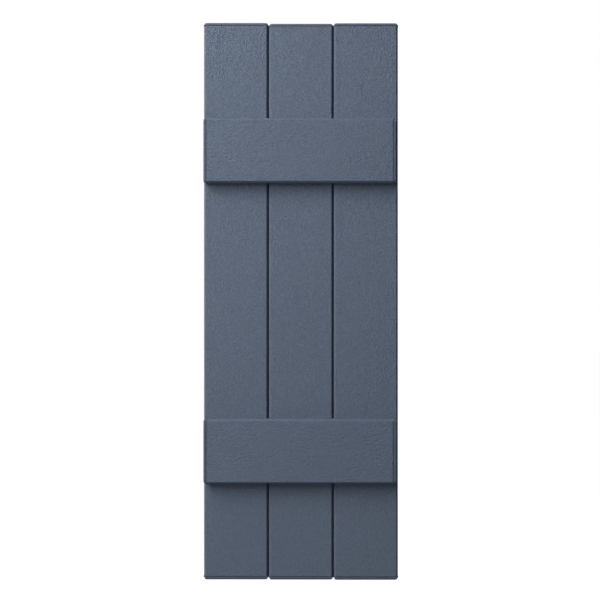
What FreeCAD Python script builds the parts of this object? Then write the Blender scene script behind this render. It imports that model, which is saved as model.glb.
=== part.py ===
"""Board and batten shutter.

Three hollow planks stand side by side with a dark shadow gap between their faces, and two shorter planks lie
across their front as battens. Every plank is closed at both ends by a plug-in cap.
Axes: +X to the right seen from the front, -Y out of the front, +Z up. Origin: middle of the flat back.
Lengths are in millimetres.
"""

import FreeCAD, Part
import os

Vector = FreeCAD.Vector

# Overall sizes
shutter_length = 787.0
board_width = 90.6
board_thickness = 19.0
shadow_gap = 1.1
batten_width = 90.0
batten_thickness = 19.0
upper_batten_margin = 137.0  # end of the shutter to the nearer edge of the batten
lower_batten_margin = 138.3
batten_inset = 2.2  # side of the shutter to the batten's end, were the batten centred
batten_shift = -1.8  # the battens were fixed a little to the left
loose_cap_standoff = 0.6  # the lower batten's right cap isn't pushed fully home

# How far each board's ends stop short of the full length, as assembled
board_top_short = {"left": 0.0, "centre": 1.2, "right": 0.4}
board_bottom_short = {"left": 0.6, "centre": 0.3, "right": 0.0}

# Hollow section of the planks
wall = 2.4
edge_chamfer = 2.3
board_web = 2.0
batten_web = 6.0  # thick enough for a screw to bite along it
web_count = 2
cell_radius = 1.0  # inside corners of the hollow cells

# Lap joint behind each shadow gap
lap_width = 8.0
lap_thickness = 3.0
lap_clearance = 0.3
lap_end_trim = 1.0  # the lap stops this far inside its board's ends

# End caps
cap_seam = 1.2  # height of the shadow line between cap and plank
cap_seam_depth = 1.1
cap_rim = 0.5  # thin flange that stands out past the plank's sides
cap_rim_gap = 0.2  # between the flanges of neighbouring boards
cap_band = 0.9  # part of the cap that is flush with the plank's front
cap_band_ease = 0.8  # how far the sides draw in over the band
cap_crown = 1.8
cap_side_ease = 2.4  # how far the sides have drawn in at the top of the crown
cap_front_ease = 1.3
cap_plug_length = 12.0
cap_plug_wall = 1.6
cap_plug_clearance = 0.15
cap_plug_lead = 2.0  # length of the plug's tapered tip
cap_plug_taper = 0.5  # how much the tip draws in on each side
cap_rim_overhang = (shadow_gap - cap_rim_gap) / 2
cap_flange = cap_seam + cap_rim + cap_band + cap_crown

# Countersunk screws that hold the battens, driven from the back
screw_clearance_radius = 2.3
screw_head_radius = 4.1
screw_pilot_radius = 1.6
screw_pilot_depth = 13.0

board_pitch = board_width + shadow_gap
boards_span = 2 * board_pitch + board_width
cut_over = 1.0  # how far a cutting tool runs past the face it cuts


def ring(points, z):
    """Closed polygon through (x, depth) points at height z, with depth measured forwards from the back."""
    corners = [Vector(x, -depth, z) for x, depth in points]
    return Part.makePolygon(corners + corners[:1])


def prism(points, bottom, top):
    """Solid between two heights on an outline of (x, depth) points."""
    return Part.Face(ring(points, bottom)).extrude(Vector(0, 0, top - bottom))


def rectangle(x_low, x_high, depth_low, depth_high):
    """Corner points of a rectangle in the section."""
    return [(x_low, depth_low), (x_high, depth_low), (x_high, depth_high), (x_low, depth_high)]


def clipped(x_low, x_high, depth_low, depth_high, clip):
    """Corner points of a rectangle whose corners are cut off at 45 degrees."""
    return [
        (x_low + clip, depth_low),
        (x_high - clip, depth_low),
        (x_high, depth_low + clip),
        (x_high, depth_high - clip),
        (x_high - clip, depth_high),
        (x_low + clip, depth_high),
        (x_low, depth_high - clip),
        (x_low, depth_low + clip),
    ]


def loft(sections):
    """Solid with flat sides through outlines of (x, depth) points, each given with its height."""
    return Part.makeLoft([ring(points, z) for points, z in sections], True, True)


def mirrored(points):
    """The same outline on the other side of the middle line, run the same way round."""
    return [(-x, depth) for x, depth in reversed(points)]


class Plank:
    """A hollow plank standing on end: x across it from its middle, its back on y = 0, z from its middle.

    Each long edge is "plain", carries a "lap" along its back, or has a "rebate" for a neighbour's lap.
    """

    def __init__(self, width, thickness, length, web, left="plain", right="plain"):
        self.half_width = width / 2
        self.thickness = thickness
        self.half_body = length / 2 - cap_flange
        self.web = web
        self.edges = {-1: left, 1: right}

    def outline(self, side_inset=0.0, front_inset=0.0, back_inset=0.0):
        """The plain outer outline with chamfered front edges, shrunk by the given insets."""
        half = self.half_width - side_inset
        front = self.thickness - front_inset
        right = [(half, back_inset), (half, front - edge_chamfer), (half - edge_chamfer, front)]
        return right + mirrored(right)

    def rebate_edge(self):
        """How far from the middle a rebate's inner face lies."""
        return self.half_width - lap_width - lap_clearance

    def rebate(self, side):
        """Limits of the notch that takes a neighbour's lap: lower x, upper x, back and front depth."""
        inner = side * self.rebate_edge()
        outer = side * (self.half_width + cut_over)
        return min(inner, outer), max(inner, outer), -cut_over, lap_thickness + lap_clearance

    def web_zone(self):
        """Lowest and highest x of the hollow that the webs divide."""
        limits = {}
        for side, edge in self.edges.items():
            outside = self.rebate_edge() if edge == "rebate" else self.half_width
            limits[side] = side * (outside - wall)
        return limits[-1], limits[1]

    def main_cells(self):
        """The full-depth cells between the webs."""
        low, high = self.web_zone()
        cell_width = (high - low - web_count * self.web) / (web_count + 1)
        starts = [low + index * (cell_width + self.web) for index in range(web_count + 1)]
        return [(x, x + cell_width, wall, self.thickness - wall) for x in starts]

    def lip_cells(self):
        """The shallow cell in front of each rebate."""
        cells = []
        for side, edge in self.edges.items():
            if edge == "rebate":
                inner = side * self.rebate_edge()
                outer = side * (self.half_width - wall)
                back = lap_thickness + lap_clearance + wall
                cells.append((min(inner, outer), max(inner, outer), back, self.thickness - wall))
        return cells

    def web_centres(self):
        """Where the middles of the webs lie across the plank."""
        cells = self.main_cells()
        return [(left[1] + right[0]) / 2 for left, right in zip(cells, cells[1:])]

    def hollow(self, cell):
        """Tool that cuts one cell right through the plank, with rounded corners."""
        reach = self.half_body + cut_over
        block = prism(rectangle(*cell), -reach, reach)
        corners = [edge for edge in block.Edges if edge.Length > self.half_body]
        return block.makeFillet(cell_radius, corners)

    def body(self):
        """The hollow plank between its caps."""
        bottom = -self.half_body
        top = self.half_body
        solid = prism(self.outline(), bottom, top)
        for cell in self.main_cells() + self.lip_cells():
            solid = solid.cut(self.hollow(cell))
        for side, edge in self.edges.items():
            if edge == "rebate":
                notch = rectangle(*self.rebate(side))
                solid = solid.cut(prism(notch, bottom - cut_over, top + cut_over))
            if edge == "lap":
                near = side * self.half_width
                far = side * (self.half_width + shadow_gap + lap_width)
                strip = rectangle(min(near, far), max(near, far), 0.0, lap_thickness)
                solid = solid.fuse(prism(strip, bottom + lap_end_trim, top - lap_end_trim))
        return solid.removeSplitter()

    def plug(self, cell):
        """Hollow plug with a tapered tip that pushes into one cell, open towards the inside of the plank."""
        x_low, x_high, back, front = cell

        def inside(inset):
            return x_low + inset, x_high - inset, back + inset, front - inset

        full = clipped(*inside(cap_plug_clearance), cell_radius)
        tip = clipped(*inside(cap_plug_clearance + cap_plug_taper), cell_radius)
        core = rectangle(*inside(cap_plug_clearance + cap_plug_wall))
        lead = -cap_plug_length + cap_plug_lead
        shell = loft([(tip, -cap_plug_length), (full, lead), (full, 0.0)])
        return shell.cut(prism(core, -cap_plug_length - cut_over, -cap_plug_wall))

    def cap(self):
        """Cap for the upper end.

        A seat inside the shadow line, a thin flange at the sides, a flush band, an eased crown and a plug
        for each main cell.
        """
        rim_bottom = cap_seam
        rim_top = rim_bottom + cap_rim
        band_top = rim_top + cap_band
        seat_outline = self.outline(cap_seam_depth, cap_seam_depth, cap_seam_depth)
        band_outline = self.outline(cap_band_ease)
        crown_outline = self.outline(cap_side_ease, cap_front_ease)
        solid = prism(seat_outline, 0.0, rim_bottom)
        solid = solid.fuse(prism(self.outline(-cap_rim_overhang), rim_bottom, rim_top))
        top = loft([(self.outline(), rim_top), (band_outline, band_top), (crown_outline, cap_flange)])
        solid = solid.fuse(top)
        for cell in self.main_cells():
            solid = solid.fuse(self.plug(cell))
        solid = solid.removeSplitter()
        solid.translate(Vector(0, 0, self.half_body))
        return solid

    def lower_cap(self):
        """The upper cap mirrored to the other end."""
        return self.cap().mirror(Vector(0, 0, 0), Vector(0, 0, 1))


def clearance_hole(x, z):
    """Countersunk hole that takes a screw from the back right through a board."""
    countersink_depth = screw_head_radius - screw_clearance_radius
    forwards = Vector(0, -1, 0)
    behind = Vector(x, cut_over, z)
    mouth = Vector(x, 0, z)
    hole = Part.makeCylinder(screw_clearance_radius, board_thickness + 2 * cut_over, behind, forwards)
    sink = Part.makeCone(screw_head_radius, screw_clearance_radius, countersink_depth, mouth, forwards)
    return hole.fuse(sink)


def pilot_hole(x, z):
    """Blind hole in a batten's web for the screw's thread."""
    start = Vector(x, -board_thickness + cut_over, z)
    return Part.makeCylinder(screw_pilot_radius, screw_pilot_depth + cut_over, start, Vector(0, -1, 0))


def lay_across(shape, z):
    """Turns a standing plank on its side and sets it on the boards' front at height z."""
    laid = shape.copy()
    laid.rotate(Vector(0, 0, 0), Vector(0, 1, 0), -90)
    laid.translate(Vector(batten_shift, -board_thickness, z))
    return laid


def build():
    """All pieces of the shutter by name."""
    board_middles = {"left": -board_pitch, "centre": 0.0, "right": board_pitch}
    board_edges = {"left": ("plain", "rebate"), "centre": ("lap", "lap"), "right": ("rebate", "plain")}
    batten_reach = shutter_length / 2 - batten_width / 2
    batten_middles = {"upper": batten_reach - upper_batten_margin, "lower": lower_batten_margin - batten_reach}

    batten = Plank(batten_width, batten_thickness, boards_span - 2 * batten_inset, batten_web)
    screw_heights = [middle + web for middle in batten_middles.values() for web in batten.web_centres()]

    pieces = {}
    for name, x in board_middles.items():
        length = shutter_length - board_top_short[name] - board_bottom_short[name]
        place = Vector(x, 0, (board_bottom_short[name] - board_top_short[name]) / 2)
        board = Plank(board_width, board_thickness, length, board_web, *board_edges[name])
        parts = {"": board.body(), "_top_cap": board.cap(), "_bottom_cap": board.lower_cap()}
        for ending, shape in parts.items():
            shape.translate(place)
            pieces[f"{name}_board{ending}"] = shape
        for z in screw_heights:
            pieces[f"{name}_board"] = pieces[f"{name}_board"].cut(clearance_hole(x, z))

    for name, z in batten_middles.items():
        body = lay_across(batten.body(), z)
        for x in board_middles.values():
            for web in batten.web_centres():
                body = body.cut(pilot_hole(x, z + web))
        pieces[f"{name}_batten"] = body
        pieces[f"{name}_batten_left_cap"] = lay_across(batten.cap(), z)
        pieces[f"{name}_batten_right_cap"] = lay_across(batten.lower_cap(), z)
    pieces["lower_batten_right_cap"].translate(Vector(loose_cap_standoff, 0, 0))
    return pieces


def main():
    """Writes each piece to its own file."""
    os.makedirs("parts", exist_ok=True)
    for name, shape in build().items():
        shape.exportStep(f"parts/{name}.step")
        print(f"{name}: {len(shape.Solids)} solid, valid {shape.isValid()}, {shape.Volume / 1000:.1f} cm3")


main()
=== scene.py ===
"""Looks of a board and batten shutter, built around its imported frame.

A plank is a closed profile carried along its length, with the woodgrain pressed into its front as relief.
An end cap is the plank's outline stacked up from the plank's end. A screw is a circle carried along its axis.
All lengths are metres in the frame's own axes: +X right seen from the front, -Y out of the front, +Z up.
"""

import math

import bpy
import numpy as np
from bpy.props import FloatProperty, FloatVectorProperty, IntProperty, PointerProperty
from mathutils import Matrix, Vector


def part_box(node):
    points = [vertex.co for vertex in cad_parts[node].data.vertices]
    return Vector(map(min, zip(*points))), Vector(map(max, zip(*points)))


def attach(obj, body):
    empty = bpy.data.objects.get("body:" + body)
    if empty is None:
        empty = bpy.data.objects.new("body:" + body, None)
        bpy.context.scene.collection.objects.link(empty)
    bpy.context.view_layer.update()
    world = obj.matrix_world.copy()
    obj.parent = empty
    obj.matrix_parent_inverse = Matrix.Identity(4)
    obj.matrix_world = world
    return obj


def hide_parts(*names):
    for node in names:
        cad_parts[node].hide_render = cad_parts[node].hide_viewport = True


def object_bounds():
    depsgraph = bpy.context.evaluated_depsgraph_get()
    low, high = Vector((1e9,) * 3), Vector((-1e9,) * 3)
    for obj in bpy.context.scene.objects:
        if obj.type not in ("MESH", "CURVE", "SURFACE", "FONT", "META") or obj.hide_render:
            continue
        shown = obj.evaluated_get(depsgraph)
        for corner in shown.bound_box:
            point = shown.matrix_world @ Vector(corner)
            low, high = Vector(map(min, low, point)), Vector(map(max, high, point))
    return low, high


bl_info = {
    "name": "Board and batten shutter",
    "version": (1, 0, 0),
    "blender": (4, 5, 0),
    "location": "3D View > Sidebar > Shutter",
    "description": "Builds the finished surfaces of a board and batten shutter around its packed frame",
    "category": "Object",
}

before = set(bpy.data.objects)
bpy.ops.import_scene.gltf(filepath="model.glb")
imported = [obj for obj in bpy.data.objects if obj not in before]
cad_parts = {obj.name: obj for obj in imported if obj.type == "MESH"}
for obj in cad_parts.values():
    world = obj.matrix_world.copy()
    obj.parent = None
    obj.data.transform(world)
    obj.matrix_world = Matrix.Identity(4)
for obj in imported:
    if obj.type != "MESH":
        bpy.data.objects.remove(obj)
cad_low, cad_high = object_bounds()

MM = 0.001

# The planks of the frame, and the shape of their long edges: left edge, then right edge
BOARD_EDGES = {
    "left_board": ("plain", "rebate"),
    "centre_board": ("plain", "plain"),
    "right_board": ("rebate", "plain"),
}
BATTENS = ("upper_batten", "lower_batten")
BATTEN_EDGES = ("plain", "plain")

# The photograph's frame: its size, and where the middle of the shutter lies in it
PHOTO_PIXELS = 600
PHOTO_MIDDLE = (300.95, 301.4)

# The lamps: where each stands, and the side of its square
LAMPS = {
    "key": ((-1.093, -1.131, 0.767), 1.17),
    "high": ((-0.727, -0.727, 1.226), 0.8),
    "fill": ((-1.97, -3.41, 0.3), 2.5),
    "back": ((0.5, 1.07, 0.25), 0.8),
}

# The floor: half its side, its white near the shutter and far off, and the distances that this runs between
FLOOR_HALF = 30.0
FLOOR_WHITE = (0.45, 1.0)
FLOOR_FADE = (0.6, 1.5)

# Rounded corners: the spans in an arc, and how far past it one more point holds the shading
ARC_SPANS = 4
ARC_HOLD = 0.35 * MM

# Shading: edges up to this angle are smooth, and a cut face is flat if its normal's Y is at least this
SMOOTH_DEGREES = 40
BACK_NORMAL = 0.999

# Woodgrain seeds: the first board's, the first batten's, and the step to the next plank
BOARD_SEED = 1
BATTEN_SEED = 51
SEED_STEP = 10

# Woodgrain lattice: the sine's angle to a column, a row and a seed, and its size
LATTICE_ANGLES = (127.1, 311.7, 74.7)
LATTICE_SIZE = 43758.5453

# Woodgrain drift, slow then quick: how far it goes sideways, and its waves along and across the plank
GRAIN_DRIFTS = ((6.0 * MM, 85.0 * MM, 45.0 * MM), (1.6 * MM, 26.0 * MM, 14.0 * MM))

# Woodgrain pebbles: how they slant to the dashes, and their length as a share of a dash
PEBBLE_SLANT = 0.4
PEBBLE_LENGTH = 0.8

# Woodgrain patches: their size across and along, and the mean, swing and limits of their strength
PATCH_SIZE = (10.0 * MM, 15.0 * MM)
PATCH_MEAN = 0.9
PATCH_SWING = 0.5
PATCH_LIMITS = (0.5, 1.2)

# Woodgrain lines: the slow noise they follow and the one that picks them, across and along, and their width
LINE_NOISE = (7.0 * MM, 85.0 * MM)
LINE_PICK = (20.0 * MM, 50.0 * MM)
LINE_WIDTH = 0.16

# Shares of the dashes, the pebbles and the lines in the woodgrain's height
DASH_SHARE = 0.65
PEBBLE_SHARE = 0.55
LINE_SHARE = 0.5

# Cap edges as shares of the cap's rounding. The thin flange takes this much of it
FLANGE_SHARE = 0.4
# Top of the band: rise and side inset, then front inset
BAND_EDGE = ((-1.0, 0.0), (0.0, 0.02), (1.0, 0.5))
# Top of the crown: drop below the top, inset past the ease, then back inset
CROWN_EDGE = ((1.0, -0.8, 0.0), (0.3, -0.1, 0.3), (0.0, 0.8, 1.0))

# Screw holes: the points round one, and how far its cutter stands out of the plank
HOLE_SIDES = 48
OVERCUT = 1.0 * MM

# Cross recess of a screw: its depth, and an arm's half width, side slope, reach and end slope
RECESS_DEPTH = 1.9 * MM
ARM_HALF_WIDTH = 0.75 * MM
ARM_SIDE = 0.35 * MM
ARM_REACH = 2.3 * MM
ARM_END = 1.6 * MM

# Screw head: its rings between two shares of its radius, and the height of its rim
HEAD_RINGS = 16
HEAD_SHARES = (0.05, 0.97)
HEAD_RIM = 0.15 * MM

# Screw thread: its rings, the share of the length where it starts, its run-in, and its end before the tip
THREAD_RINGS = 40
THREAD_FROM = 0.45
THREAD_RUN_IN = 1.0 * MM
THREAD_END = 3.0 * MM

# Screw point: its length, and the share of its radius that is left at the tip
POINT_LENGTH = 2.8 * MM
POINT_SHARE = 0.1

# Noises of the finishes: their scale to a metre, and their detail
PORES = (970.0, 1.5)
CAP_TEXTURE = (1500.0, 2.0)
CAP_CLOUD = (45.0, 2.0)
SCREW_CLOUD = (700.0, 3.0)

# The range that most of a noise lies in, and the range of a value that goes either way
NOISE_RANGE = (0.3, 0.7)
EITHER_WAY = (-1.0, 1.0)

# How the pores' scale differs over X, Y and Z
BOARD_STRETCH = (1.0, 1.0, 0.85)
BATTEN_STRETCH = (0.6, 1.0, 1.15)

# Heights of the bumps
PORE_BUMP = 0.12 * MM
CAP_BUMP = 0.02 * MM

# Colour factors of the finishes. The relief's is painted light on the raised woodgrain and painted shade in
# its hollows, for woodgrain heights this far either way
RELIEF_PAINTED_SHADING = (0.97, 1.03)
RELIEF_RANGE = (-0.6, 0.6)
CAP_TONE = (0.96, 1.04)
SCREW_TONE = (0.86, 1.08)

# Gloss of the finishes
PLASTIC_SPECULAR = 0.06
PLANK_ROUGHNESS = (0.52, 0.66)
CAP_ROUGHNESS = (0.5, 0.6)
SCREW_ROUGHNESS = (0.28, 0.45)


class ShutterSizes(bpy.types.PropertyGroup):
    """Sizes that the frame's boxes don't give."""

    edge_chamfer: FloatProperty(
        name="Edge chamfer", description="Chamfer along a plank's front edges",
        default=2.3 * MM, unit="LENGTH")
    chamfer_depth: FloatProperty(
        name="Chamfer depth", description="How far back the chamfer goes", default=3.3 * MM, unit="LENGTH")
    edge_round: FloatProperty(
        name="Edge rounding", description="Rounding of a plank's long corners",
        default=0.4 * MM, unit="LENGTH")
    lap_thickness: FloatProperty(
        name="Lap thickness", description="Strip behind the shadow gap", default=3.0 * MM, unit="LENGTH")
    lap_clearance: FloatProperty(
        name="Lap clearance", description="Room round the strip in its rebate",
        default=0.3 * MM, unit="LENGTH")
    crown_height: FloatProperty(
        name="Crown height", description="Eased outer end of a cap", default=1.8 * MM, unit="LENGTH")
    seam_depth: FloatProperty(
        name="Seam depth", description="How deep the shadow line under a cap is",
        default=1.1 * MM, unit="LENGTH")
    rim_height: FloatProperty(
        name="Rim height", description="Thin flange at the cap's sides", default=0.5 * MM, unit="LENGTH")
    rim_gap: FloatProperty(
        name="Rim gap", description="Room left between a flange and the middle of the gap",
        default=0.01 * MM, unit="LENGTH")
    band_height: FloatProperty(
        name="Band height", description="Part of the cap flush with the plank",
        default=0.9 * MM, unit="LENGTH")
    band_ease: FloatProperty(
        name="Band ease", description="How far the sides draw in over the band",
        default=0.6 * MM, unit="LENGTH")
    side_ease: FloatProperty(
        name="Side ease", description="How far the crown's sides draw in", default=1.4 * MM, unit="LENGTH")
    front_ease: FloatProperty(
        name="Front ease", description="How far a board cap's front draws back",
        default=1.7 * MM, unit="LENGTH")
    batten_front_ease: FloatProperty(
        name="Batten front ease", description="How far a batten cap's front draws back",
        default=0.4 * MM, unit="LENGTH")
    foot_trim: FloatProperty(
        name="Foot trim", description="How much taller the bottom caps are than the top ones",
        default=0.6 * MM, unit="LENGTH")
    cap_round: FloatProperty(
        name="Cap rounding", description="Rounding of the cap's edges", default=0.25 * MM, unit="LENGTH")


class ShutterGrain(bpy.types.PropertyGroup):
    """The woodgrain pressed into the planks."""

    board_depth: FloatProperty(
        name="Board depth", description="Height of the boards' relief either way",
        default=0.46 * MM, unit="LENGTH")
    batten_depth: FloatProperty(
        name="Batten depth", description="Height of the battens' relief either way",
        default=0.44 * MM, unit="LENGTH")
    board_tone: FloatProperty(
        name="Board tone", description="How much the pores lighten and darken the boards", default=0.33)
    batten_tone: FloatProperty(
        name="Batten tone", description="How much the pores lighten and darken the battens", default=0.38)
    foot_share: FloatProperty(
        name="Foot share", description="Share of relief and pores that is left at the shutter's foot",
        default=0.45)
    dash_width: FloatProperty(
        name="Dash width", description="Width of a grain dash", default=0.95 * MM, unit="LENGTH")
    board_dash: FloatProperty(
        name="Board dash", description="Length of a grain dash on the boards",
        default=1.5 * MM, unit="LENGTH")
    batten_dash: FloatProperty(
        name="Batten dash", description="Length of a grain dash on the battens",
        default=2.6 * MM, unit="LENGTH")
    board_mesh: FloatVectorProperty(
        name="Board mesh", description="Mesh spacing across and along a board", size=2,
        default=(0.72 * MM, 1.02 * MM), unit="LENGTH")
    batten_mesh: FloatVectorProperty(
        name="Batten mesh", description="Mesh spacing across and along a batten", size=2,
        default=(0.5 * MM, 0.8 * MM), unit="LENGTH")
    margin: FloatProperty(
        name="Margin", description="Relief fades out this near the edges", default=1.2 * MM, unit="LENGTH")


class ShutterScrews(bpy.types.PropertyGroup):
    """The countersunk screws that hold the battens from behind."""

    spread: FloatProperty(
        name="Spread", description="Distance between the two screws in a board",
        default=30.4 * MM, unit="LENGTH")
    head_radius: FloatProperty(
        name="Head radius", description="Radius of the countersunk head", default=4.0 * MM, unit="LENGTH")
    head_sink: FloatProperty(
        name="Head sink", description="How far the head lies below the back",
        default=0.12 * MM, unit="LENGTH")
    hole_radius: FloatProperty(
        name="Hole radius", description="Clearance hole through a board", default=2.3 * MM, unit="LENGTH")
    sink_radius: FloatProperty(
        name="Countersink radius", description="Mouth of the hole", default=4.1 * MM, unit="LENGTH")
    pilot_radius: FloatProperty(
        name="Pilot radius", description="Blind hole in a batten", default=1.6 * MM, unit="LENGTH")
    pilot_depth: FloatProperty(
        name="Pilot depth", description="Depth of the blind hole", default=13.0 * MM, unit="LENGTH")
    shank_radius: FloatProperty(
        name="Shank radius", description="Radius of the plain shank", default=1.9 * MM, unit="LENGTH")
    thread_pitch: FloatProperty(
        name="Thread pitch", description="Distance between turns", default=1.8 * MM, unit="LENGTH")
    thread_height: FloatProperty(
        name="Thread height", description="Height of the thread from root to crest",
        default=0.5 * MM, unit="LENGTH")
    length: FloatProperty(
        name="Length", description="Length of the whole screw", default=30.0 * MM, unit="LENGTH")
    sides: IntProperty(name="Sides", description="Points round the screw", default=48, min=12)


class ShutterColours(bpy.types.PropertyGroup):
    """Colours of the finishes."""

    plank: FloatVectorProperty(
        name="Plank", description="Slate blue-grey of the planks",
        default=(0.116, 0.144, 0.196), subtype="COLOR")
    cap: FloatVectorProperty(
        name="Cap", description="Slate blue-grey of the end caps",
        default=(0.100, 0.123, 0.168), subtype="COLOR")
    screw: FloatVectorProperty(
        name="Screw", description="Zinc plate of the screws", default=(0.56, 0.55, 0.52), subtype="COLOR")
    floor: FloatVectorProperty(
        name="Floor", description="Plain pale floor", default=(0.5, 0.5, 0.5), subtype="COLOR")


class ShutterStage(bpy.types.PropertyGroup):
    """Camera, light and floor."""

    distance: FloatProperty(
        name="Camera distance", description="From the boards' front", default=2.07, unit="LENGTH")
    pixel: FloatProperty(
        name="Pixel size", description="Width of a photo pixel on the boards' front",
        default=1.4121 * MM, unit="LENGTH")
    floor_drop: FloatProperty(
        name="Floor drop", description="Room between the shutter's foot and the floor",
        default=0.7, unit="LENGTH")
    key_power: FloatProperty(
        name="Key power", description="Large soft light, left of the camera", default=25.4, unit="POWER")
    high_power: FloatProperty(
        name="High power", description="Soft light high on the left", default=11.5, unit="POWER")
    fill_power: FloatProperty(
        name="Fill power", description="Large far light behind the camera", default=22.0, unit="POWER")
    back_power: FloatProperty(
        name="Back power", description="Soft light behind the shutter", default=9.0, unit="POWER")
    surround: FloatProperty(
        name="Surround", description="Strength of the even light all round", default=0.01)


class Plank:
    """Where one plank of the frame lies, and how to place points on it.

    across runs over the plank's width from its middle, along runs over its length, and depth runs forwards
    from its back. A board has across = +X and along = +Z, and starts the foot trim above its node's foot. A
    batten has across = -Z and along = +X.
    """

    def __init__(self, node, foot_trim=0.0):
        low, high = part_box(node)
        self.node = node
        self.upright = node in BOARD_EDGES
        self.back = high.y
        self.thickness = high.y - low.y
        if self.upright:
            self.width = board_width()
            self.middle = (low.x + high.x) / 2
            self.start, self.end = low.z + foot_trim, high.z
        else:
            self.width = high.z - low.z
            self.middle = (low.z + high.z) / 2
            self.start, self.end = low.x, high.x

    def place(self, across, along, depth):
        """Points in the frame from the plank's own coordinates."""
        if self.upright:
            parts = (self.middle + across, self.back - depth, along)
        else:
            parts = (along, self.back - depth, self.middle - across)
        return np.stack(np.broadcast_arrays(*parts), axis=-1)


def board_width():
    """Width of every board without laps: the left board has none."""
    low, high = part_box("left_board")
    return high.x - low.x


def lap_sizes():
    """Width of the shadow gap, and how far a lap strip reaches past its plank's side, from the frame's boxes.

    The gap is half of what a board leaves free between the outer two. The reach is half of what the centre
    board's box is wider than a board.
    """
    left_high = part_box("left_board")[1]
    right_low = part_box("right_board")[0]
    centre_low, centre_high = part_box("centre_board")
    width = board_width()
    gap = (right_low.x - left_high.x - width) / 2
    reach = (centre_high.x - centre_low.x - width) / 2
    return gap, reach


def eased(t):
    """Eases 0 to 1 by 3t^2 - 2t^3."""
    return t * t * (3 - 2 * t)


def twice_eased(t):
    """Eases 0 to 1 by 6t^5 - 15t^4 + 10t^3."""
    return t * t * t * (t * (t * 6 - 15) + 10)


def lattice(column, row, seed):
    """Fixed value from -1 to 1 at whole-numbered lattice points: the fractional part of a large sine."""
    by_column, by_row, by_seed = LATTICE_ANGLES
    wave = np.sin(column * by_column + row * by_row + seed * by_seed) * LATTICE_SIZE
    return 2.0 * (wave - np.floor(wave)) - 1.0


def soft_noise(x, y, seed):
    """Smooth noise from -1 to 1: the four lattice values round a point, mixed by its eased place."""
    column, row = np.floor(x), np.floor(y)
    s, t = twice_eased(x - column), twice_eased(y - row)
    low = lattice(column, row, seed) * (1 - s) + lattice(column + 1, row, seed) * s
    high = lattice(column, row + 1, seed) * (1 - s) + lattice(column + 1, row + 1, seed) * s
    return low * (1 - t) + high * t


def woodgrain(across, along, seed, width, length):
    """Height of the woodgrain from about -1 to 1.

    Dashes of the given width and length and slanting pebbles come and go in patches. Among them run a few
    fine long lines, where a slow noise passes through zero. Dashes, pebbles and lines follow the drift of the
    grain: across plus two slower sideways noises. The height is the patch times the shares of dashes and
    pebbles, less the share of the lines.
    """
    drifts = [reach * soft_noise(along / wave_along, across / wave_across, seed + number)
              for number, (reach, wave_along, wave_across) in enumerate(GRAIN_DRIFTS)]
    line = across + sum(drifts)
    dashes = soft_noise(line / width, along / length, seed + 2)
    slant_across, slant_along = line - PEBBLE_SLANT * along, along + PEBBLE_SLANT * line
    pebbles = soft_noise(slant_across / width, slant_along / (PEBBLE_LENGTH * length), seed + 3)
    swing = soft_noise(across / PATCH_SIZE[0], along / PATCH_SIZE[1], seed + 4)
    patch = np.clip(PATCH_MEAN + PATCH_SWING * swing, *PATCH_LIMITS)
    slow = soft_noise(line / LINE_NOISE[0], along / LINE_NOISE[1], seed + 5)
    picked = np.clip(soft_noise(line / LINE_PICK[0], along / LINE_PICK[1], seed + 6), 0, 1)
    lines = np.exp(-(slow / LINE_WIDTH) ** 2) * picked
    return patch * (DASH_SHARE * dashes + PEBBLE_SHARE * pebbles) - LINE_SHARE * lines


def rounded_outline(corners, radius):
    """Closed outline with a round at each corner: an array of corners, points, 2.

    A corner gives the arc of the radius that touches both of its edges, and one point more on each edge a
    little further out, so that smooth shading stays within the round. A point of the arc is its centre plus a
    mix of its first and last spokes. The first is weighted by the sine of the turn that is left and the last
    by the sine of the turn so far, both over the sine of the whole turn.
    """
    corners = np.asarray(corners, float)
    before = np.roll(corners, 1, axis=0) - corners
    after = np.roll(corners, -1, axis=0) - corners
    before /= np.linalg.norm(before, axis=1, keepdims=True)
    after /= np.linalg.norm(after, axis=1, keepdims=True)
    half_angle = 0.5 * np.arccos(np.clip((before * after).sum(axis=1, keepdims=True), -1, 1))
    touch = radius / np.tan(half_angle)
    bisector = before + after
    bisector /= np.linalg.norm(bisector, axis=1, keepdims=True)
    centre = corners + bisector * radius / np.sin(half_angle)
    first = (corners + before * touch - centre)[:, None]
    last = (corners + after * touch - centre)[:, None]
    turn = (math.pi - 2 * half_angle)[:, None]
    share = np.linspace(0, 1, ARC_SPANS + 1)[None, :, None]
    arc = centre[:, None] + (np.sin((1 - share) * turn) * first + np.sin(share * turn) * last) / np.sin(turn)
    lead = (corners + before * (touch + ARC_HOLD))[:, None]
    trail = (corners + after * (touch + ARC_HOLD))[:, None]
    return np.concatenate([lead, arc, trail], axis=1)


def edge_corners(kind, side, plank, sizes):
    """Corners of one long edge from the back to the front of a plank."""
    half = plank.width / 2
    if kind == "rebate":
        gap, reach = lap_sizes()
        inner = half - (reach - gap) - sizes.lap_clearance
        front = sizes.lap_thickness + sizes.lap_clearance
        notch = [(inner, 0.0), (inner, front), (half, front)]
    else:
        notch = [(half, 0.0)]
    slope = [(half, plank.thickness - sizes.chamfer_depth), (half - sizes.edge_chamfer, plank.thickness)]
    return [(side * across, depth) for across, depth in notch + slope]


def plank_profile(plank, edges, sizes, column):
    """The front of a plank's profile from right to left, and the rest of it on round the back.

    Both are points of across and depth. The front is straight, in narrow columns for the grain.
    """
    right = edge_corners(edges[1], 1, plank, sizes)
    left = edge_corners(edges[0], -1, plank, sizes)[::-1]
    rounds = rounded_outline(right + left, sizes.edge_round)
    up, down = rounds[: len(right)].reshape(-1, 2), rounds[len(right):].reshape(-1, 2)
    columns = int((up[-1, 0] - down[0, 0]) / column)
    front = np.linspace(up[-1], down[0], columns + 1)
    return front, np.concatenate([down[1:], up[:-1]])


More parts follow.
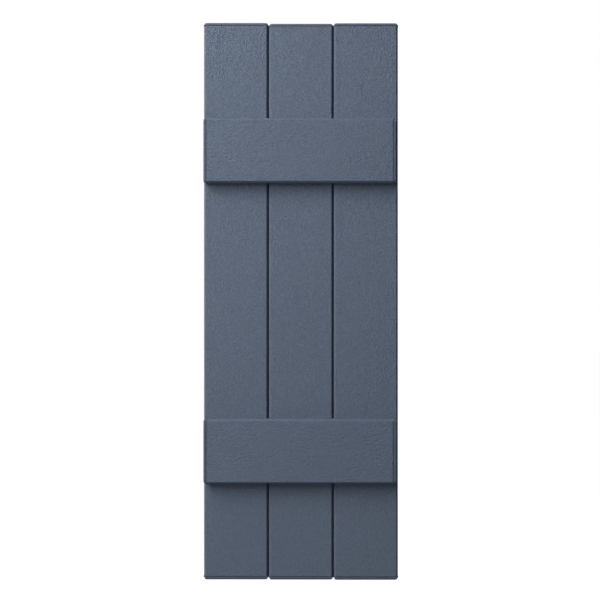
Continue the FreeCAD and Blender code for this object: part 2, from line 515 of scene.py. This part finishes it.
def lap_strips(plank, sizes):
    """The two strips behind the shadow gaps: closed round-edged bars on the centre board.

    Each runs as far as the neighbouring board does, so that no light shows past its ends.
    """
    points, faces = [], []
    half = plank.width / 2
    reach = lap_sizes()[1]
    for side, neighbour in ((-1, "left_board"), (1, "right_board")):
        low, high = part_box(neighbour)
        left, right = sorted((side * half, side * (half + reach)))
        front = sizes.lap_thickness
        corners = [(right, 0.0), (right, front), (left, front), (left, 0.0)]
        outline = rounded_outline(corners, sizes.lap_clearance).reshape(-1, 2)
        bar = plank.place(outline[:, 0], np.array([[low.z], [high.z]]), outline[:, 1]).reshape(-1, 3)
        first = sum(len(part) for part in points)
        faces += [[first + point for point in face] for face in tube_faces(2, len(outline))]
        points.append(bar)
    return np.concatenate(points), faces


def plank_faces(rows, columns, rest):
    """Faces of a plank: the front has rows and columns of points, the rest has points at both ends only.

    The long strip on each side of the front is one flat face, because its edge there has a point at every
    row.
    """
    front = np.arange(rows * columns).reshape(rows, columns)
    start = rows * columns + np.arange(rest)
    end = start + rest
    quads = np.stack([front[:-1, :-1], front[1:, :-1], front[1:, 1:], front[:-1, 1:]], axis=-1).reshape(-1, 4)
    sides = np.stack([start[:-1], end[:-1], end[1:], start[1:]], axis=-1)
    left_strip = [*front[:, -1].tolist(), int(end[0]), int(start[0])]
    right_strip = [int(start[-1]), int(end[-1]), *front[::-1, 0].tolist()]
    first = [*front[0].tolist(), *start.tolist()]
    last = [*front[-1].tolist(), *end.tolist()][::-1]
    return quads.tolist() + sides.tolist() + [left_strip, right_strip, first, last]


def tube_faces(rows, columns):
    """Faces of a closed profile carried over rows: quads between neighbours, and a flat face on each end."""
    index = np.arange(rows * columns).reshape(rows, columns)
    beside = np.roll(index, -1, axis=1)
    quads = np.stack([index[:-1], index[1:], beside[1:], beside[:-1]], axis=-1).reshape(-1, 4)
    return quads.tolist() + [index[0].tolist(), index[-1, ::-1].tolist()]


def new_piece(name, points, faces, material=None):
    """Object at the origin with its place in its mesh, smooth except at sharp edges.

    Faces with more than four corners are flat ends and strips, so they are shaded flat.
    """
    mesh = bpy.data.meshes.new(name)
    mesh.from_pydata(points.reshape(-1, 3).tolist(), [], faces)
    mesh.polygons.foreach_set("use_smooth", [len(face) <= 4 for face in faces])
    mesh.set_sharp_from_angle(angle=math.radians(SMOOTH_DEGREES))
    if material is not None:
        mesh.materials.append(material)
    piece = bpy.data.objects.new(name, mesh)
    bpy.context.scene.collection.objects.link(piece)
    return piece


def add_attribute(piece, name, values):
    """Stores one number a point on the mesh."""
    attribute = piece.data.attributes.new(name, "FLOAT", "POINT")
    attribute.data.foreach_set("value", np.ascontiguousarray(values, np.float32).ravel())


def turned(stations, sides, centres, back):
    """Closed turned solids, one at each centre (x, z), with their axis along -Y from the back.

    stations are the radii and the depths from the head to the tip, each with one column or one column a side.
    Each point is the centre plus radius times (cos, -sin) of its angle, at back minus depth.
    """
    radius, depth = (np.broadcast_to(part, (len(part), sides)) for part in stations)
    angle = 2 * math.pi * np.arange(sides) / sides
    x = centres[:, 0, None, None] + radius * np.cos(angle)
    z = centres[:, 1, None, None] - radius * np.sin(angle)
    y = np.broadcast_to(back - depth, x.shape)
    points = np.stack([x, y, z], axis=-1)
    faces = tube_faces(len(radius), sides)
    count = radius.size
    copies = [[count * copy + point for point in face] for copy in range(len(centres)) for face in faces]
    return points, copies


def drill(piece, radii, depths, centres, back):
    """Cuts turned holes into a piece from its back and keeps the cut mesh, with its back shaded flat."""
    stations = [np.array(part)[:, None] for part in (radii, depths)]
    cutter = new_piece("hole_cutter", *turned(stations, HOLE_SIDES, centres, back))
    modifier = piece.modifiers.new("holes", "BOOLEAN")
    modifier.operation = "DIFFERENCE"
    modifier.solver = "EXACT"
    modifier.object = cutter
    uncut = piece.data
    cut = bpy.data.meshes.new_from_object(piece.evaluated_get(bpy.context.evaluated_depsgraph_get()))
    piece.modifiers.remove(modifier)
    piece.data = cut
    normals = np.empty(3 * len(cut.polygons))
    smooth = np.empty(len(cut.polygons), bool)
    cut.polygons.foreach_get("normal", normals)
    cut.polygons.foreach_get("use_smooth", smooth)
    cut.polygons.foreach_set("use_smooth", smooth & (normals[1::3] < BACK_NORMAL))
    bpy.data.meshes.remove(uncut)
    bpy.data.objects.remove(cutter)


def screw_heights(battens, screws):
    """Heights of the screws: two behind each of the battens, the spread apart."""
    middles = [Plank(node).middle for node in battens]
    return [middle + side * screws.spread / 2 for middle in middles for side in (1, -1)]


def make_plank(plank, edges, seed, scene, material):
    """A plank: its front a grid raised and lowered by depth times woodgrain, its other sides straight.

    The grain is eased to nothing at the long edges. It is crispest at the shutter's head and fades evenly to
    a share of its depth at the foot.
    """
    sizes, grain = scene.shutter_sizes, scene.shutter_grain
    column, row = grain.board_mesh if plank.upright else grain.batten_mesh
    length = grain.board_dash if plank.upright else grain.batten_dash
    deep = grain.board_depth if plank.upright else grain.batten_depth
    front, rest = plank_profile(plank, edges, sizes, column)
    rows = int((plank.end - plank.start) / row) + 1
    along = np.linspace(plank.start, plank.end, rows)[:, None]
    across = front[:, 0]
    inside = np.clip(np.minimum(across[0] - across, across - across[-1]) / grain.margin, 0, 1)
    raised = (plank.place(across, along, 0.0)[..., 2] - cad_low.z) / (cad_high.z - cad_low.z)
    fade = grain.foot_share + (1 - grain.foot_share) * raised
    height = woodgrain(across, along, seed, grain.dash_width, length) * eased(inside) * fade
    grained = plank.place(across, along, front[:, 1] + deep * height)
    ends = plank.place(rest[:, 0], along[[0, -1]], rest[:, 1])
    points = np.concatenate([grained.reshape(-1, 3), ends.reshape(-1, 3)])
    faces = plank_faces(rows, len(front), len(rest))
    if plank.node == "centre_board":
        strips, strip_faces = lap_strips(plank, sizes)
        faces += [[len(points) + point for point in face] for face in strip_faces]
        points = np.concatenate([points, strips])
    piece = new_piece(f"{plank.node}_woodgrain", points, faces, material)
    # The stored height also drives the material's painted light on the ridges and painted shade in the
    # hollows
    add_attribute(piece, "grain", np.pad(height.ravel(), (0, len(points) - height.size)))
    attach(piece, "root")
    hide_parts(plank.node)
    return piece


def cap_stations(flange, share, overhang, front_ease, sizes):
    """Heights over the plank's end, with the side, front and back insets of the outline there.

    From the seat inside the shadow line, over the thin flange and the flush band, to the top of the crown,
    with each outer edge taken off by a small round. share scales the steps. The shadow line takes what the
    rest leaves, so it is higher under a cap that isn't pushed fully home.
    """
    soft = sizes.cap_round
    small = FLANGE_SHARE * soft
    deep = sizes.seam_depth
    seam = flange - share * (sizes.rim_height + sizes.band_height + sizes.crown_height)
    rim = seam + share * sizes.rim_height
    band = rim + share * sizes.band_height
    seat = [
        (0.0, -overhang + small, deep, deep),
        (small, -overhang, deep, deep),
        (seam, -overhang, deep, deep),
    ]
    thin_flange = [
        (seam, -overhang, small, small),
        (seam + small, -overhang, 0.0, 0.0),
        (rim - small, -overhang, 0.0, 0.0),
        (rim, -overhang + small, 0.0, 0.0),
        (rim + small / 4, 0.0, 0.0, 0.0),
    ]
    flush_band = [(band + rise * soft, sizes.band_ease + rise * soft, front * soft, 0.0)
                  for rise, front in BAND_EDGE]
    crown = [(flange - drop * soft, sizes.side_ease + turn * soft, front_ease + turn * soft, back * soft)
             for drop, turn, back in CROWN_EDGE]
    return np.array(seat + thin_flange + flush_band + crown)


def cap_outlines(plank, stations, sizes):
    """The plank's plain outline at each station, drawn in by its insets: an array of stations, points, 2."""
    outlines = []
    for _, side, front, back in stations:
        half = plank.width / 2 - side
        deep = plank.thickness - front
        right = [(half, back), (half, deep - sizes.chamfer_depth), (half - sizes.edge_chamfer, deep)]
        left = [(-across, depth) for across, depth in reversed(right)]
        outlines.append(rounded_outline(right + left, sizes.edge_round).reshape(-1, 2))
    return np.array(outlines)


def make_cap(plank, node, outer_end, scene, material):
    """An end cap: the plank's outlines stacked from its end outwards, or from its outer end back at a start.

    The steps of a bottom cap are scaled up by what the foot trim adds to its height.
    """
    sizes = scene.shutter_sizes
    overhang = lap_sizes()[0] / 2 - sizes.rim_gap
    at_start = outer_end < plank.start
    seat = plank.start if at_start else plank.end
    flange = abs(outer_end - seat)
    front_ease = sizes.front_ease if plank.upright else sizes.batten_front_ease
    share = flange / (flange - sizes.foot_trim) if plank.upright and at_start else 1.0
    stations = cap_stations(flange, share, overhang, front_ease, sizes)
    outlines = cap_outlines(plank, stations, sizes)
    heights = stations[:, 0, None]
    if at_start:
        outlines, heights = outlines[::-1], -heights[::-1]
    points = plank.place(outlines[..., 0], seat + heights, outlines[..., 1])
    piece = new_piece(f"{node}_moulded", points, tube_faces(*outlines.shape[:2]), material)
    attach(piece, "root")
    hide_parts(node)


def cross_recess(radius, angle):
    """Share of the recess depth at a point of the screw's head: two crossing arms that taper to their ends.

    An arm is eased down over its sides, and rises straight towards its end.
    """
    a, b = np.abs(radius * np.cos(angle)), np.abs(radius * np.sin(angle))
    side = np.clip((ARM_HALF_WIDTH - np.minimum(a, b)) / ARM_SIDE, 0, 1)
    end = np.clip((ARM_REACH - np.maximum(a, b)) / ARM_END, 0, 1)
    return eased(side) * end


def screw_surface(screws):
    """Radius and depth of a countersunk screw by station and side.

    The stations go from the middle of the head's recess out over the head, down its cone, along the shank
    and the thread to the tip. The thread's radius is its middle plus its height times the square of a ridge
    less a half. The ridge goes from 0 to 1 and back, and climbs one pitch a turn.
    """
    sides = screws.sides
    angle = 2 * math.pi * np.arange(sides)[None, :] / sides
    top = screws.head_sink
    face = np.linspace(*HEAD_SHARES, HEAD_RINGS)[:, None] * screws.head_radius
    face_depth = top + RECESS_DEPTH * cross_recess(face, angle)
    cone_end = top + screws.head_radius - screws.shank_radius
    thread_start = THREAD_FROM * screws.length
    plain = np.array([[screws.head_radius], [screws.shank_radius], [screws.shank_radius]])
    plain_depth = np.array([[top + HEAD_RIM], [cone_end], [thread_start - THREAD_RUN_IN]])
    turns = np.linspace(thread_start, screws.length - THREAD_END, THREAD_RINGS)[:, None]
    ridge = 1 - np.abs(2 * np.mod(turns / screws.thread_pitch - angle / (2 * math.pi), 1) - 1)
    middle = screws.shank_radius - screws.thread_height / 2
    thread = middle + screws.thread_height * (ridge ** 2 - 0.5)
    point = np.array([[middle], [POINT_SHARE * middle]])
    point_depth = np.array([[screws.length - POINT_LENGTH], [screws.length]])
    sections = ((face, face_depth), (plain, plain_depth), (thread, turns), (point, point_depth))
    ones = np.ones((1, sides))
    return [np.concatenate([part * ones for part in parts]) for parts in zip(*sections)]


def noise_node(tree, vector, scale, detail):
    """A noise texture on the given coordinates."""
    node = tree.nodes.new("ShaderNodeTexNoise")
    node.inputs["Scale"].default_value = scale
    node.inputs["Detail"].default_value = detail
    tree.links.new(vector, node.inputs["Vector"])
    return node.outputs["Fac"]


def ranged(tree, value, low, high, from_low=NOISE_RANGE[0], from_high=NOISE_RANGE[1]):
    """The value's range, or a noise's usual one, spread over low to high."""
    node = tree.nodes.new("ShaderNodeMapRange")
    node.inputs["From Min"].default_value = from_low
    node.inputs["From Max"].default_value = from_high
    node.inputs["To Min"].default_value = low
    node.inputs["To Max"].default_value = high
    tree.links.new(value, node.inputs["Value"])
    return node.outputs["Result"]


def shaded(tree, colour, factor):
    """The colour multiplied by a grey factor that varies over the surface."""
    node = tree.nodes.new("ShaderNodeVectorMath")
    node.operation = "SCALE"
    node.inputs[0].default_value = colour
    tree.links.new(factor, node.inputs["Scale"])
    return node.outputs["Vector"]


def stretched(tree, scale=(1.0, 1.0, 1.0)):
    """Object coordinates, each multiplied by its scale."""
    coordinates = tree.nodes.new("ShaderNodeTexCoord")
    mapping = tree.nodes.new("ShaderNodeMapping")
    mapping.inputs["Scale"].default_value = scale
    tree.links.new(coordinates.outputs["Object"], mapping.inputs["Vector"])
    return mapping.outputs["Vector"]


def bumped(tree, height, distance):
    """A normal from a height, in units of the distance."""
    node = tree.nodes.new("ShaderNodeBump")
    node.inputs["Strength"].default_value = 1.0
    node.inputs["Distance"].default_value = distance
    tree.links.new(height, node.inputs["Height"])
    return node.outputs["Normal"]


def combined(tree, operation, first, second):
    """Two values joined by an operation such as MULTIPLY."""
    node = tree.nodes.new("ShaderNodeMath")
    node.operation = operation
    tree.links.new(first, node.inputs[0])
    tree.links.new(second, node.inputs[1])
    return node.outputs["Value"]


def new_material(name):
    """A node material with its tree and its shader."""
    material = bpy.data.materials.new(name)
    material.use_nodes = True
    tree = material.node_tree
    return material, tree, tree.nodes["Principled BSDF"]


def woodgrain_material(name, colour, stretch, tone, foot_share):
    """Matte woodgrain plastic: painted light on the raised grain and painted shade in its hollows, with fine
    pores in tone and bump.

    The pores are a stretched noise, and tone is how much they lighten and darken the colour. Their light and
    dark is partly the plastic's own tone and partly painted shade of the fine grain. Like the relief, they
    are crispest at the shutter's head and fade to a share of that at its foot. That fade is painted light:
    the raking light brings out the grain most at the head.
    """
    material, tree, shader = new_material(name)
    height = tree.nodes.new("ShaderNodeSeparateXYZ")
    tree.links.new(stretched(tree), height.inputs["Vector"])
    fade = ranged(tree, height.outputs["Z"], foot_share, 1.0, cad_low.z, cad_high.z)
    # Pores: partly the plastic's own tone, partly painted shade of the fine grain
    pores = ranged(tree, noise_node(tree, stretched(tree, stretch), *PORES), *EITHER_WAY)
    # Their contrast fades towards the foot: painted light, as the raking light shows the grain less there
    pores = combined(tree, "MULTIPLY", pores, fade)
    relief = tree.nodes.new("ShaderNodeAttribute")
    relief.attribute_name = "grain"
    # Painted light on the raised grain and painted shade in its hollows, from the relief's height
    relief_painted_shading = ranged(tree, relief.outputs["Fac"], *RELIEF_PAINTED_SHADING, *RELIEF_RANGE)
    by_pores = ranged(tree, pores, 1 - tone, 1 + tone, *EITHER_WAY)
    factor = combined(tree, "MULTIPLY", relief_painted_shading, by_pores)
    tree.links.new(shaded(tree, colour, factor), shader.inputs["Base Color"])
    tree.links.new(ranged(tree, pores, *PLANK_ROUGHNESS, *EITHER_WAY), shader.inputs["Roughness"])
    tree.links.new(bumped(tree, pores, PORE_BUMP), shader.inputs["Normal"])
    shader.inputs["Specular IOR Level"].default_value = PLASTIC_SPECULAR
    return material


def cap_material(colour):
    """Smooth moulded plastic with a faint spark-eroded texture."""
    material, tree, shader = new_material("moulded_cap_plastic")
    vector = stretched(tree)
    fine = noise_node(tree, vector, *CAP_TEXTURE)
    cloud = noise_node(tree, vector, *CAP_CLOUD)
    tree.links.new(shaded(tree, colour, ranged(tree, cloud, *CAP_TONE)), shader.inputs["Base Color"])
    tree.links.new(ranged(tree, fine, *CAP_ROUGHNESS), shader.inputs["Roughness"])
    tree.links.new(bumped(tree, fine, CAP_BUMP), shader.inputs["Normal"])
    shader.inputs["Specular IOR Level"].default_value = PLASTIC_SPECULAR
    return material


def screw_material(colour):
    """Zinc-plated steel, a little uneven."""
    material, tree, shader = new_material("zinc_plated_steel")
    cloud = noise_node(tree, stretched(tree), *SCREW_CLOUD)
    tree.links.new(shaded(tree, colour, ranged(tree, cloud, *SCREW_TONE)), shader.inputs["Base Color"])
    tree.links.new(ranged(tree, cloud, *SCREW_ROUGHNESS), shader.inputs["Roughness"])
    shader.inputs["Metallic"].default_value = 1.0
    return material


def add_camera(scene, stage):
    """A camera square to the boards, set off so that the shutter's middle falls where the photo has it."""
    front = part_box("centre_board")[0].y
    camera = bpy.data.objects.new("camera", bpy.data.cameras.new("camera"))
    right = (PHOTO_MIDDLE[0] - PHOTO_PIXELS / 2) * stage.pixel
    down = (PHOTO_MIDDLE[1] - PHOTO_PIXELS / 2) * stage.pixel
    camera.location = (-right, front - stage.distance, down)
    camera.rotation_euler = (math.pi / 2, 0.0, 0.0)
    camera.data.lens = camera.data.sensor_width * stage.distance / (PHOTO_PIXELS * stage.pixel)
    scene.collection.objects.link(camera)
    scene.camera = camera


def add_light(name, place, size, power):
    """A square soft light aimed at the middle of the shutter."""
    light = bpy.data.lights.new(name, "AREA")
    light.size = size
    light.energy = power
    lamp = bpy.data.objects.new(name, light)
    lamp.location = place
    lamp.rotation_euler = (-lamp.location).to_track_quat("-Z", "Y").to_euler()
    bpy.context.scene.collection.objects.link(lamp)


def seen_directly(tree):
    """1 for rays from the camera, a mirror or clear glass, 0 for rays that only carry light."""
    path = tree.nodes.new("ShaderNodeLightPath")
    mirror = combined(tree, "MAXIMUM", path.outputs["Is Camera Ray"], path.outputs["Is Glossy Ray"])
    return combined(tree, "MAXIMUM", mirror, path.outputs["Is Transmission Ray"])


def add_floor(colour, height):
    """A wide floor that keeps the shutter's shadow near it and runs out to the white of the surround."""
    material, tree, shader = new_material("pale_floor")
    shader.inputs["Base Color"].default_value = (*colour, 1.0)
    shader.inputs["Roughness"].default_value = 1.0
    shader.inputs["Specular IOR Level"].default_value = 0.0
    shader.inputs["Emission Color"].default_value = (1.0, 1.0, 1.0, 1.0)
    distance = tree.nodes.new("ShaderNodeVectorMath")
    distance.operation = "LENGTH"
    tree.links.new(stretched(tree, (1.0, 1.0, 0.0)), distance.inputs[0])
    white = ranged(tree, distance.outputs["Value"], *FLOOR_WHITE, *FLOOR_FADE)
    glow = combined(tree, "MULTIPLY", seen_directly(tree), white)
    tree.links.new(glow, shader.inputs["Emission Strength"])
    signs = ((-1, -1), (1, -1), (1, 1), (-1, 1))
    corners = np.array([(x * FLOOR_HALF, y * FLOOR_HALF, height) for x, y in signs])
    floor = new_piece("floor", corners, [[0, 1, 2, 3]], material)


def add_surround(scene, strength):
    """An even surround: white where it is seen, and a plain fill light elsewhere."""
    world = bpy.data.worlds.new("surround")
    world.use_nodes = True
    scene.world = world
    tree = world.node_tree
    background = tree.nodes["Background"]
    background.inputs["Color"].default_value = (1.0, 1.0, 1.0, 1.0)
    tree.links.new(ranged(tree, seen_directly(tree), strength, 1.0, 0.0, 1.0), background.inputs["Strength"])


class SHUTTER_OT_boards(bpy.types.Operator):
    """Build the three upright boards with their woodgrain and screw holes"""

    bl_idname = "shutter.boards"
    bl_label = "Boards"

    def execute(self, context):
        scene = context.scene
        screws, grain = scene.shutter_screws, scene.shutter_grain
        colour = scene.shutter_colours.plank
        material = woodgrain_material("board_woodgrain", colour, BOARD_STRETCH, grain.board_tone,
                                      grain.foot_share)
        heights = screw_heights(BATTENS, screws)
        radii = [screws.sink_radius + OVERCUT, screws.hole_radius, screws.hole_radius]
        for number, (node, edges) in enumerate(BOARD_EDGES.items()):
            plank = Plank(node, scene.shutter_sizes.foot_trim)
            piece = make_plank(plank, edges, BOARD_SEED + SEED_STEP * number, scene, material)
            depths = [-OVERCUT, screws.sink_radius - screws.hole_radius, plank.thickness + OVERCUT]
            centres = np.array([(plank.middle, height) for height in heights])
            drill(piece, radii, depths, centres, plank.back)
        return {"FINISHED"}


class SHUTTER_OT_battens(bpy.types.Operator):
    """Build the two battens that lie across the boards, with their woodgrain and pilot holes"""

    bl_idname = "shutter.battens"
    bl_label = "Battens"

    def execute(self, context):
        scene = context.scene
        screws, grain = scene.shutter_screws, scene.shutter_grain
        colour = scene.shutter_colours.plank
        material = woodgrain_material("batten_woodgrain", colour, BATTEN_STRETCH, grain.batten_tone,
                                      grain.foot_share)
        board_middles = [Plank(node).middle for node in BOARD_EDGES]
        radii = [screws.pilot_radius, screws.pilot_radius]
        depths = [-OVERCUT, screws.pilot_depth]
        for number, node in enumerate(BATTENS):
            plank = Plank(node)
            piece = make_plank(plank, BATTEN_EDGES, BATTEN_SEED + SEED_STEP * number, scene, material)
            heights = screw_heights([node], screws)
            centres = np.array([(middle, height) for middle in board_middles for height in heights])
            drill(piece, radii, depths, centres, plank.back)
        return {"FINISHED"}


class SHUTTER_OT_caps(bpy.types.Operator):
    """Build the moulded cap on each end of every plank"""

    bl_idname = "shutter.caps"
    bl_label = "End caps"

    def execute(self, context):
        scene = context.scene
        material = cap_material(scene.shutter_colours.cap)
        for node in (*BOARD_EDGES, *BATTENS):
            plank = Plank(node, scene.shutter_sizes.foot_trim)
            for ending in ("bottom", "top") if plank.upright else ("left", "right"):
                cap = f"{node}_{ending}_cap"
                low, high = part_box(cap)
                near, far = (low.z, high.z) if plank.upright else (low.x, high.x)
                make_cap(plank, cap, near if ending in ("bottom", "left") else far, scene, material)
        return {"FINISHED"}


class SHUTTER_OT_screws(bpy.types.Operator):
    """Build the countersunk screws in the back"""

    bl_idname = "shutter.screws"
    bl_label = "Screws"

    def execute(self, context):
        scene = context.scene
        screws = scene.shutter_screws
        material = screw_material(scene.shutter_colours.screw)
        stations = screw_surface(screws)
        for node in BOARD_EDGES:
            plank = Plank(node)
            for number, height in enumerate(screw_heights(BATTENS, screws), 1):
                centre = np.array([[plank.middle, height]])
                solid = turned(stations, screws.sides, centre, plank.back)
                piece = new_piece(f"{node}_screw_{number}", *solid, material)
                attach(piece, "root")
        return {"FINISHED"}


class SHUTTER_OT_stage(bpy.types.Operator):
    """Set the camera, the soft studio light, the white surround and the floor"""

    bl_idname = "shutter.stage"
    bl_label = "Stage"

    def execute(self, context):
        scene = context.scene
        stage = scene.shutter_stage
        scene.view_settings.view_transform = "Standard"
        add_camera(scene, stage)
        for name, (place, size) in LAMPS.items():
            add_light(name, place, size, getattr(stage, f"{name}_power"))
        add_floor(scene.shutter_colours.floor, cad_low.z - stage.floor_drop)
        add_surround(scene, stage.surround)
        return {"FINISHED"}


GROUPS = {
    "shutter_sizes": ShutterSizes,
    "shutter_grain": ShutterGrain,
    "shutter_screws": ShutterScrews,
    "shutter_colours": ShutterColours,
    "shutter_stage": ShutterStage,
}
OPERATORS = (SHUTTER_OT_boards, SHUTTER_OT_battens, SHUTTER_OT_caps, SHUTTER_OT_screws, SHUTTER_OT_stage)


class SHUTTER_PT_panel(bpy.types.Panel):
    """Lists the shutter's sizes, colours and operators"""

    bl_label = "Shutter"
    bl_idname = "SHUTTER_PT_panel"
    bl_space_type = "VIEW_3D"
    bl_region_type = "UI"
    bl_category = "Shutter"

    def draw(self, context):
        for group, kind in GROUPS.items():
            box = self.layout.box()
            for name in kind.__annotations__:
                box.prop(getattr(context.scene, group), name)
        for operator in OPERATORS:
            self.layout.operator(operator.bl_idname)


CLASSES = (*GROUPS.values(), *OPERATORS, SHUTTER_PT_panel)


def register():
    """Registers the classes and hangs the settings on the scene."""
    for kind in CLASSES:
        bpy.utils.register_class(kind)
    for name, kind in GROUPS.items():
        setattr(bpy.types.Scene, name, PointerProperty(type=kind))


def unregister():
    """Takes the settings and the classes away again."""
    for name in GROUPS:
        delattr(bpy.types.Scene, name)
    for kind in reversed(CLASSES):
        bpy.utils.unregister_class(kind)


def main():
    """Builds every piece and the stage."""
    register()
    bpy.ops.shutter.boards()
    bpy.ops.shutter.battens()
    bpy.ops.shutter.caps()
    bpy.ops.shutter.screws()
    bpy.ops.shutter.stage()


if __name__ == "__main__":
    main()
